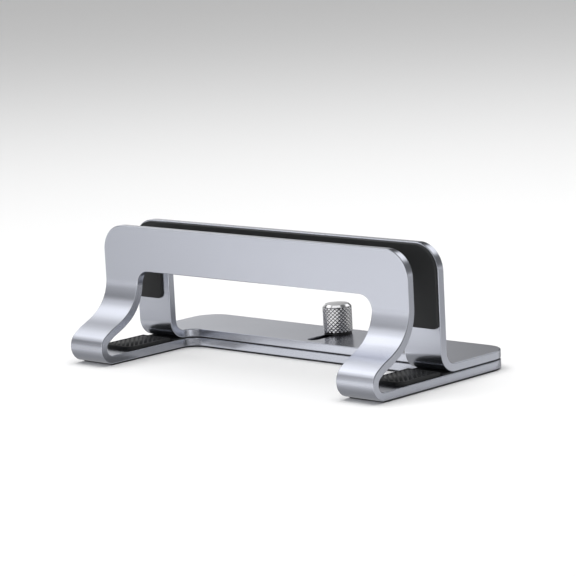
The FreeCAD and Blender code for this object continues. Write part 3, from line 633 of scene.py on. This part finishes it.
class STAND_OT_base_frame(PieceOperator, bpy.types.Operator):
    """Bend the base frame: flat base, curled front, rising legs and front wall with its window"""

    bl_idname = "stand.base_frame"
    bl_label = "Base frame"

    def execute(self, context):
        s = context.scene.stand_sizes
        low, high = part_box("base_frame")
        t = s.plate
        wall_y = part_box("front_wall_pad")[0].y - t / 2
        path = BendPath((high.y, low.z + t / 2), math.pi)
        path.straight(high.y - low.y - s.curl)
        steep = s.slope + s.slope_ease
        path.arc(s.curl - t / 2, steep - math.pi)
        hollow = s.hollow + t / 2
        # The slope eases from one bend into the other: a little flatter in its middle than at its ends.
        run = (wall_y - hollow * (1 - math.sin(steep)) - path.point.x) / math.cos(s.slope) / 2
        for turn in (-2 * s.slope_ease, 2 * s.slope_ease):
            path.arc(run / (2 * s.slope_ease), turn)
        path.arc(hollow, math.pi / 2 - steep)
        path.straight(high.z - path.point.y)
        nut = high.y - foot_of("thumbscrew")[1]
        r = s.nut_hole / 2
        piece = bent_plate("bent_base_frame", path, s.front_bar, box_corners(-r, nut - r, r, nut + r, r, r))
        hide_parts("base_frame")
        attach(piece, "base")
        return {"FINISHED"}


class STAND_OT_sliding_bracket(PieceOperator, bpy.types.Operator):
    """Bend the sliding bracket: slotted foot and rear wall with its window"""

    bl_idname = "stand.sliding_bracket"
    bl_label = "Sliding bracket"

    def execute(self, context):
        s = context.scene.stand_sizes
        low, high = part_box("sliding_bracket")
        t = s.plate
        path = BendPath((high.y, low.z + t / 2), math.pi)
        path.straight(high.y - low.y - s.bend)
        path.arc(s.bend - t / 2, -math.pi / 2)
        path.straight(high.z - path.point.y)
        slot = self.slot(0.0, high.y - foot_of("thumbscrew")[1], s.slot_width / 2, s.slide_travel)
        pin_x, pin_y, _ = foot_of("guide_pin_right")
        grooves = [self.slot(x, high.y - pin_y, s.pin_groove / 2, s.slide_travel) for x in (-pin_x, pin_x)]
        piece = bent_plate("bent_sliding_bracket", path, s.rear_bar, slot, grooves)
        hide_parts("sliding_bracket")
        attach(piece, "bracket")
        return {"FINISHED"}

    @staticmethod
    def slot(x, rear, radius, travel):
        """A round-ended slot that runs forward from the screw or pin, with a little room at each end."""
        ease = 0.3 * MM
        return box_corners(x - radius, rear - ease - radius, x + radius, rear + travel + ease + radius,
                           radius, radius)


class STAND_OT_wall_pads(PieceOperator, bpy.types.Operator):
    """Mould the soft pads on the two walls"""

    bl_idname = "stand.wall_pads"
    bl_label = "Wall pads"

    def execute(self, context):
        s = context.scene.stand_sizes
        low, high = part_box("rear_wall_pad")
        inner = leg_inner() + s.pad_window_inset
        bar = high_of("sliding_bracket").z - s.rear_bar + s.pad_window_inset
        inset = half_length() - high.x
        top = s.wall_corner - inset
        inner_corner = s.window_corner + s.pad_window_inset
        end = s.pad_leg_end
        corners = [
            (-inner, low.z, end), (-inner, bar, inner_corner), (inner, bar, inner_corner), (inner, low.z, end),
            (high.x, low.z, end), (high.x, high.z, top), (low.x, high.z, top), (low.x, low.z, end),
        ]
        self.mould("soft_rear_wall_pad", corners, high.y - low.y, high.y, -1, "rear_wall_pad", "bracket")
        low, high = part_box("front_wall_pad")
        corners = box_corners(low.x, low.z, high.x, high.z, end, top)
        self.mould("soft_front_wall_pad", corners, high.y - low.y, low.y, 1, "front_wall_pad", "base")
        return {"FINISHED"}

    @staticmethod
    def mould(name, corners, thickness, wall, side, node, body):
        """Mould a pad flat and stand it against a wall, on the side towards the rear or, at -1, the front."""
        def onto_wall(co):
            return (Vector((-side * co.x, wall + side * co.z, co.y)),
                    Vector((-side, 0, 0)), Vector((0, 0, 1)), Vector((0, side, 0)))

        bevel = bpy.context.scene.stand_sizes.pad_bevel
        shell = Shell()
        shell.slab([rounded_walk(corners)], rim_section(0.0, thickness, MOULD_EDGE, bevel))
        shell.move(onto_wall)
        piece = shell.finished(name, "moulded_silicone")
        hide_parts(node)
        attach(piece, body)


def geometry_tree(name, inputs):
    """A Geometry Nodes tree with named inputs, given with their usual values, and a material."""
    tree = bpy.data.node_groups.new(name, "GeometryNodeTree")
    new_socket = tree.interface.new_socket
    new_socket("Geometry", in_out="OUTPUT", socket_type="NodeSocketGeometry")
    new_socket("Geometry", in_out="INPUT", socket_type="NodeSocketGeometry")
    kinds = {tuple: "NodeSocketVector", float: "NodeSocketFloat", int: "NodeSocketInt"}
    for label, usual in inputs.items():
        new_socket(label, in_out="INPUT", socket_type=kinds[type(usual)]).default_value = usual
    new_socket("Material", in_out="INPUT", socket_type="NodeSocketMaterial")
    add = partial(add_node, tree)
    return tree, add, add("NodeGroupInput").outputs


def end_tree(add, value, geometry):
    """Put what a tree has made in its place, as a real mesh with its material."""
    placed = add(MOVE, {"Geometry": geometry, "Translation": value["Centre"]})
    painted = add("GeometryNodeSetMaterial", {"Geometry": add(REAL, (placed,)), "Material": value["Material"]})
    add("NodeGroupOutput", (painted,))


def grown_piece(name, tree, values, material):
    """Run a Geometry Nodes tree on an empty mesh and keep what it makes as a plain mesh."""
    seed = bpy.data.meshes.new(name + "_seed")
    holder = new_object(name, seed)
    modifier = holder.modifiers.new("grow", "NODES")
    modifier.node_group = tree
    values = {**values, "Material": finish(material)}
    for item in tree.interface.items_tree:
        if item.in_out == "INPUT" and item.name in values:
            modifier[item.identifier] = values[item.name]
    bpy.context.view_layer.update()
    evaluated = holder.evaluated_get(bpy.context.evaluated_depsgraph_get())
    data = bpy.data.meshes.new_from_object(evaluated)
    holder.modifiers.clear()
    holder.data = data
    bpy.data.meshes.remove(seed)
    data.name = name
    if not data.polygons:
        raise RuntimeError(f"{name} came out empty")
    # The primitives' empty material slot goes, and the finish keeps its own.
    data.materials.clear()
    data.materials.append(finish(material))
    return holder


def rib_tree():
    """Diagonal ribs, trimmed to a rounded outline."""
    tree, add, value = geometry_tree("Diagonal ribs", {
        "Centre": (0.0, 0.0, 0.0), "Width": 0.0172, "Length": 0.025, "Corner": 0.004, "Pitch": 0.0022,
        "Rib Width": 0.0013, "Rib Height": 0.0003, "Count": RIB_COUNT})
    last = add(MATHS, (value["Count"], 1.0), operation="SUBTRACT")
    spread = add(MATHS, (last, value["Pitch"]), operation="MULTIPLY")
    first = add(VECTOR, {"Y": add(MATHS, (spread, -0.5), operation="MULTIPLY")})
    rows = add("GeometryNodeMeshLine", {
        "Count": value["Count"], "Start Location": first, "Offset": add(VECTOR, {"Y": value["Pitch"]})})
    reach = add(MATHS, (value["Width"], value["Length"]), operation="ADD")
    far = add(VECTOR, {"X": add(MATHS, (reach, 0.5), operation="MULTIPLY")})
    near = add(VECTOR_MATHS, {0: far, "Scale": -1.0}, operation="SCALE")
    line = add("GeometryNodeCurvePrimitiveLine", {"Start": near, "End": far})
    tall = add(MATHS, (value["Rib Height"], 2.0), operation="MULTIPLY")
    section = add(RECTANGLE, {"Width": value["Rib Width"], "Height": tall}, mode="RECTANGLE")
    soft = add(MATHS, (value["Rib Height"], 0.6), operation="MULTIPLY")
    softened = add(ROUNDED, {"Curve": section, "Count": 3, "Radius": soft}, mode="POLY")
    bar = add("GeometryNodeCurveToMesh", {"Curve": line, "Profile Curve": softened, "Fill Caps": True})
    bars = add(REAL, (add("GeometryNodeInstanceOnPoints", {"Points": rows, "Instance": bar}),))
    slanted = add(MOVE, {"Geometry": bars, "Rotation": (0.0, 0.0, math.radians(-45))})
    outline = add(RECTANGLE, {"Width": value["Width"], "Height": value["Length"]}, mode="RECTANGLE")
    rounded = add(ROUNDED, {"Curve": outline, "Count": 8, "Radius": value["Corner"]}, mode="POLY")
    low = add(VECTOR, {"Z": add(MATHS, (value["Rib Height"], -0.5), operation="MULTIPLY")})
    flat = add(MOVE, {"Geometry": add("GeometryNodeFillCurve", (rounded,)), "Translation": low})
    prism = add("GeometryNodeExtrudeMesh", {"Mesh": flat, "Offset Scale": tall, "Individual": False})
    closed = add("GeometryNodeJoinGeometry", {0: [prism, add("GeometryNodeFlipFaces", (flat,))]})
    welded = add("GeometryNodeMergeByDistance", {"Geometry": closed, "Distance": 0.001 * MM})
    trimmed = add("GeometryNodeMeshBoolean", {"Mesh 2": [slanted, welded]}, operation="INTERSECT", solver="EXACT")
    end_tree(add, value, trimmed)
    return tree


class STAND_OT_rest_pads(PieceOperator, bpy.types.Operator):
    """Mould the two ribbed pads that the laptop's edge stands on"""

    bl_idname = "stand.rest_pads"
    bl_label = "Rest pads"

    def execute(self, context):
        s = context.scene.stand_sizes
        tree = rib_tree()
        top_edge, recess_edge, small_corner, clearance = 0.35 * MM, 0.1 * MM, 0.4 * MM, 0.25 * MM
        for side in ("left", "right"):
            low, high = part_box(f"rest_pad_{side}")
            floor = high.z - s.rib_height
            outline = rounded_walk(box_corners(low.x, low.y, high.x, high.y, s.rest_corner, small_corner))
            b = s.rest_border
            recess = rounded_walk(box_corners(low.x + b, low.y + b, high.x - b, high.y - b,
                                              s.rest_corner - b, small_corner))
            shell = Shell()
            rings = [shell.ring(outline, *row) for row in rim_section(low.z, high.z, MOULD_EDGE, top_edge)]
            for a in (math.pi / 2 * k / 3 for k in range(4)):
                rings.append(shell.ring(recess, -recess_edge * (1 - math.sin(a)),
                                        high.z - recess_edge * (1 - math.cos(a)), -math.sin(a), math.cos(a)))
            rings.append(shell.ring(recess, 0.0, floor + recess_edge, -1.0, 0.0))
            rings.append(shell.ring(recess, recess_edge, floor, 0.0, 1.0))
            for under, over in zip(rings, rings[1:]):
                shell.band(under, over)
            shell.cap(rings[:1], False)
            shell.cap(rings[-1:], True)
            pad = shell.finished(f"soft_rest_pad_{side}", "moulded_silicone")
            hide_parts(f"rest_pad_{side}")
            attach(pad, "base")
            gap = s.rest_border + clearance
            ribs = grown_piece(f"rest_pad_ribs_{side}", tree, {
                "Centre": (*foot_of(f"rest_pad_{side}")[:2], floor),
                "Width": high.x - low.x - 2 * gap, "Length": high.y - low.y - 2 * gap,
                "Corner": s.rest_corner - gap, "Pitch": s.rib_pitch, "Rib Width": s.rib_width,
                "Rib Height": s.rib_height, "Count": RIB_COUNT}, "moulded_silicone")
            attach(ribs, "base")
        return {"FINISHED"}


def knurl_tree():
    """Rows of low pyramids, wrapped round an upright cylinder and trimmed by the bevel round its top."""
    tree, add, value = geometry_tree("Diamond knurl", {
        "Centre": (0.0, 0.0, 0.0), "Radius": 0.0069, "Height": 0.0131, "Shoulder": 0.0126, "Lean": 1.04,
        "Depth": 0.0003, "Sink": KNURL_SINK, "Flat": KNURL_FLAT, "Count": 22, "Rows": 7})
    girth = add(MATHS, (value["Radius"], 2 * math.pi), operation="MULTIPLY")
    cell = add(VECTOR, (add(MATHS, (girth, value["Count"]), operation="DIVIDE"),
                        add(MATHS, (value["Height"], value["Rows"]), operation="DIVIDE"),
                        add(MATHS, (value["Depth"], value["Sink"]), operation="ADD")))
    pyramid = add("GeometryNodeMeshCone", {
        "Vertices": 4, "Radius Top": value["Flat"], "Radius Bottom": 1.0, "Depth": 1.0})
    sunk = add(VECTOR, {"Z": add(MATHS, (value["Sink"], -1.0), operation="MULTIPLY")})
    size = add(VECTOR_MATHS, (cell, (0.5, 0.5, 1.0)), operation="MULTIPLY")
    diamond = add(MOVE, {"Geometry": pyramid, "Scale": size, "Translation": sunk})

    def lattice(rows, across, up):
        """Points one cell apart, moved across and up by parts of a cell."""
        gaps = add(MATHS, (rows, 1.0), operation="SUBTRACT")
        grid = add("GeometryNodeMeshGrid", {
            "Size X": add(MATHS, (value["Count"], 1.0), operation="SUBTRACT"), "Size Y": gaps,
            "Vertices X": value["Count"], "Vertices Y": rows})
        shift = add(VECTOR, (across, add(MATHS, (gaps, 0.5, up), operation="MULTIPLY_ADD")))
        return add(MOVE, {"Geometry": grid, "Translation": shift})

    fewer = add(MATHS, (value["Rows"], 1.0), operation="SUBTRACT")
    cells = add("GeometryNodeJoinGeometry", {0: [lattice(value["Rows"], 0.0, 0.5), lattice(fewer, 0.5, 1.0)]})
    points = add(MOVE, {"Geometry": cells, "Scale": cell})
    flat = add(REAL, (add("GeometryNodeInstanceOnPoints", {"Points": points, "Instance": diamond}),))
    x, y, z = add(AXES, (add("GeometryNodeInputPosition"),)).outputs
    crest = add(MATHS, (value["Radius"], value["Depth"]), operation="ADD")
    climb = add(MATHS, (y, value["Shoulder"]), operation="SUBTRACT")
    bevel = add(MATHS, (crest, add(MATHS, (climb, value["Lean"]), operation="MULTIPLY")), operation="SUBTRACT")
    out = add(MATHS, (add(MATHS, (value["Radius"], z), operation="ADD"), bevel), operation="MINIMUM")
    front = add(VECTOR, {"Y": add(MATHS, (out, -1.0), operation="MULTIPLY"), "Z": y})
    wrapped = add("ShaderNodeVectorRotate", {
        "Vector": front, "Angle": add(MATHS, (x, value["Radius"]), operation="DIVIDE")}, rotation_type="Z_AXIS")
    end_tree(add, value, add("GeometryNodeSetPosition", {"Geometry": flat, "Position": wrapped}))
    return tree


class STAND_OT_thumbscrew(PieceOperator, bpy.types.Operator):
    """Turn and knurl the thumbscrew"""

    bl_idname = "stand.thumbscrew"
    bl_label = "Thumbscrew"

    def execute(self, context):
        s = context.scene.stand_sizes
        low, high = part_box("thumbscrew")
        land = knob_radius() - s.knurl_depth
        seat = high_of("thumbscrew_washer").z
        foot = seat + s.knob_foot
        shank = s.shank / 2
        tip, sharp, fine, foot_edge, top_edge = (size * MM for size in (0.4, 0.02, 0.15, 0.3, 0.35))
        section = [
            (0.0, low.z, 0.0), (shank - tip, low.z, fine), (shank, low.z + tip, fine),
            (shank, seat, sharp), (land - s.knob_foot, seat, fine), (land, foot, foot_edge),
            (land, knob_shoulder() + s.knurl_depth * s.knob_bevel_rise / s.knob_bevel, fine),
            (knob_radius() - s.knob_bevel, high.z - s.knob_dome, top_edge), (0.0, high.z, 0.0),
        ]
        x, y, _ = foot_of("thumbscrew")
        knob = turned("thumbscrew_knob", rounded_walk(section, closed=False, step=math.radians(9)),
                      (x, y, 0.0), "plated_nickel")
        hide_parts("thumbscrew")
        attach(knob, "thumbscrew")
        knurl = grown_piece("thumbscrew_knurl", knurl_tree(), {
            "Centre": (x, y, foot), "Radius": land, "Height": knob_shoulder() + KNURL_OVERLAP - foot,
            "Shoulder": knob_shoulder() - foot, "Lean": s.knob_bevel / s.knob_bevel_rise,
            "Depth": s.knurl_depth, "Sink": KNURL_SINK, "Flat": KNURL_FLAT,
            "Count": s.knurl_count, "Rows": s.knurl_rows}, "plated_nickel")
        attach(knurl, "thumbscrew")
        return {"FINISHED"}


class STAND_OT_washer(PieceOperator, bpy.types.Operator):
    """Turn the washer under the knob"""

    bl_idname = "stand.washer"
    bl_label = "Washer"

    def execute(self, context):
        low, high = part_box("thumbscrew_washer")
        bore_play, edge = 0.15 * MM, 0.12 * MM
        outer = (high.x - low.x) / 2
        inner = context.scene.stand_sizes.shank / 2 + bore_play
        section = box_corners(inner, low.z, outer, high.z, edge, edge)
        x, y, _ = foot_of("thumbscrew")
        washer = turned("nylon_washer", rounded_walk(section, step=math.radians(30)), (x, y, 0.0), "black_nylon",
                        closed=True)
        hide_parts("thumbscrew_washer")
        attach(washer, "washer")
        return {"FINISHED"}


class STAND_OT_sheets_and_hardware(PieceOperator, bpy.types.Operator):
    """Give the thin sheets and the hidden hardware their finishes"""

    bl_idname = "stand.sheets_and_hardware"
    bl_label = "Sheets and hardware"

    def execute(self, context):
        finishes = {
            "base_foot_pad": "foam_foot_sheet",
            "glide_sheet": "flocked_glide_sheet",
            **dict.fromkeys(("clinch_nut", "guide_pin_left", "guide_pin_right"), "zinc_plate"),
        }
        for node, name in finishes.items():
            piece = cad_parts[node]
            piece.data.materials.clear()
            piece.data.materials.append(finish(name))
        return {"FINISHED"}


class STAND_OT_stage(PieceOperator, bpy.types.Operator):
    """Set the pale floor, the studio dome, the grey cards and the camera"""

    bl_idname = "stand.stage"
    bl_label = "Stage"

    def execute(self, context):
        scene = context.scene
        scene.view_settings.view_transform = "Standard"
        floor = self.sheet("studio_floor", FLOOR, 0.0, "studio_floor")
        floor.visible_glossy = False
        for name, (outline, height, material) in CARDS.items():
            card = self.sheet(name, outline, height, material)
            card.visible_camera = False
            card.visible_diffuse = False
            card.visible_shadow = False
        self.dome(scene)
        self.softbox()
        self.camera(scene)
        return {"FINISHED"}

    @staticmethod
    def sheet(name, outline, height, material):
        """A flat sheet, given in millimetres by two opposite corners or by all of them."""
        if len(outline) == 4:
            x0, y0, x1, y1 = outline
            outline = (x0, y0, x1, y0, x1, y1, x0, y1)
        corners = [(x * MM, y * MM, height * MM) for x, y in zip(outline[::2], outline[1::2])]
        data = bpy.data.meshes.new(name)
        data.from_pydata(corners, [], [tuple(range(len(corners)))])
        data.materials.append(finish(material))
        sheet = new_object(name, data)
        return sheet

    @staticmethod
    def dome(scene):
        """Paint the studio dome: pale at the horizon, dark above it, with soft lights, and what lies below it."""
        world = bpy.data.worlds.new("studio_dome")
        world.use_nodes = True
        world.node_tree.nodes.clear()
        add = partial(add_node, world.node_tree)
        direction = add("ShaderNodeTexCoord").outputs["Generated"]
        height = add(AXES, (direction,)).outputs["Z"]

        def paint(total, lights):
            for azimuth, elevation, inner, outer, brightness in lights:
                a, e = math.radians(azimuth), math.radians(elevation)
                aim = (-math.sin(a) * math.cos(e), -math.cos(a) * math.cos(e), math.sin(e))
                near = add(VECTOR_MATHS, (direction, aim), operation="DOT_PRODUCT").outputs["Value"]
                start, end = math.cos(math.radians(outer)), math.cos(math.radians(inner))
                glow = add(RANGE, (near, start, end, 0.0, brightness), **SMOOTH)
                total = add(MATHS, (total, glow), operation="ADD")
            return total

        start, end = (math.sin(math.radians(degrees)) for degrees in HORIZON[:2])
        fade = add(RANGE, (height, start, end, *HORIZON[2:]), **SMOOTH)
        upper, lower = (math.sin(math.radians(degrees)) for degrees in LOWER[:2])
        share = add(RANGE, (height, lower, upper), **SMOOTH)
        total = add(MIX, {0: share, 2: paint(LOWER[2], LOWER_LIGHTS), 3: paint(fade, SOFT_LIGHTS)},
                    data_type="FLOAT")
        background = add("ShaderNodeBackground", {"Color": WHITE, "Strength": total})
        add("ShaderNodeOutputWorld", {"Surface": background})
        scene.world = world

    @staticmethod
    def softbox():
        """Hang a round softbox overhead, for the floor and the soft pads; the plates don't mirror it."""
        data = bpy.data.lights.new("softbox", "AREA")
        data.shape = "DISK"
        data.size = SOFTBOX_WIDTH
        data.energy = SOFTBOX_POWER
        softbox = new_object("softbox", data)
        softbox.location.z = SOFTBOX_HEIGHT
        softbox.visible_camera = False
        softbox.visible_glossy = False

    @staticmethod
    def camera(scene):
        """Stand the camera right of the front, a little above the stand, as the photograph was taken."""
        azimuth, elevation, roll = (math.radians(angle) for angle in CAMERA_ANGLES)
        data = bpy.data.cameras.new("camera")
        data.sensor_width = SENSOR_WIDTH
        data.lens = SENSOR_WIDTH * FOCAL_LENGTH / PICTURE_WIDTH
        data.clip_end = 20.0
        camera = new_object("camera", data)
        camera.matrix_world = (Matrix.Translation(Vector(CAMERA_PLACE) * MM) @ Matrix.Rotation(azimuth, 4, "Z")
                               @ Matrix.Rotation(math.pi / 2 - elevation, 4, "X") @ Matrix.Rotation(roll, 4, "Z"))
        scene.camera = camera


class STAND_PT_panel(bpy.types.Panel):
    """The stand's sizes, colours and pieces"""

    bl_idname = "STAND_PT_panel"
    bl_label = "Laptop stand"
    bl_space_type = "VIEW_3D"
    bl_region_type = "UI"
    bl_category = "Stand"

    def draw(self, context):
        layout = self.layout
        for group in (context.scene.stand_sizes, context.scene.stand_colours):
            column = layout.column(align=True)
            for name in group.__annotations__:
                column.prop(group, name)
        column = layout.column(align=True)
        for operator in OPERATORS:
            column.operator(operator.bl_idname)


OPERATORS = (
    STAND_OT_base_frame,
    STAND_OT_sliding_bracket,
    STAND_OT_wall_pads,
    STAND_OT_rest_pads,
    STAND_OT_thumbscrew,
    STAND_OT_washer,
    STAND_OT_sheets_and_hardware,
    STAND_OT_stage,
)
CLASSES = (StandSizes, StandColours, *OPERATORS, STAND_PT_panel)


def register():
    for item in CLASSES:
        bpy.utils.register_class(item)
    bpy.types.Scene.stand_sizes = PointerProperty(type=StandSizes)
    bpy.types.Scene.stand_colours = PointerProperty(type=StandColours)


def unregister():
    del bpy.types.Scene.stand_colours
    del bpy.types.Scene.stand_sizes
    for item in reversed(CLASSES):
        bpy.utils.unregister_class(item)


def main():
    register()
    bpy.ops.stand.base_frame()
    bpy.ops.stand.sliding_bracket()
    bpy.ops.stand.wall_pads()
    bpy.ops.stand.rest_pads()
    bpy.ops.stand.thumbscrew()
    bpy.ops.stand.washer()
    bpy.ops.stand.sheets_and_hardware()
    bpy.ops.stand.stage()


if __name__ == "__main__":
    main()
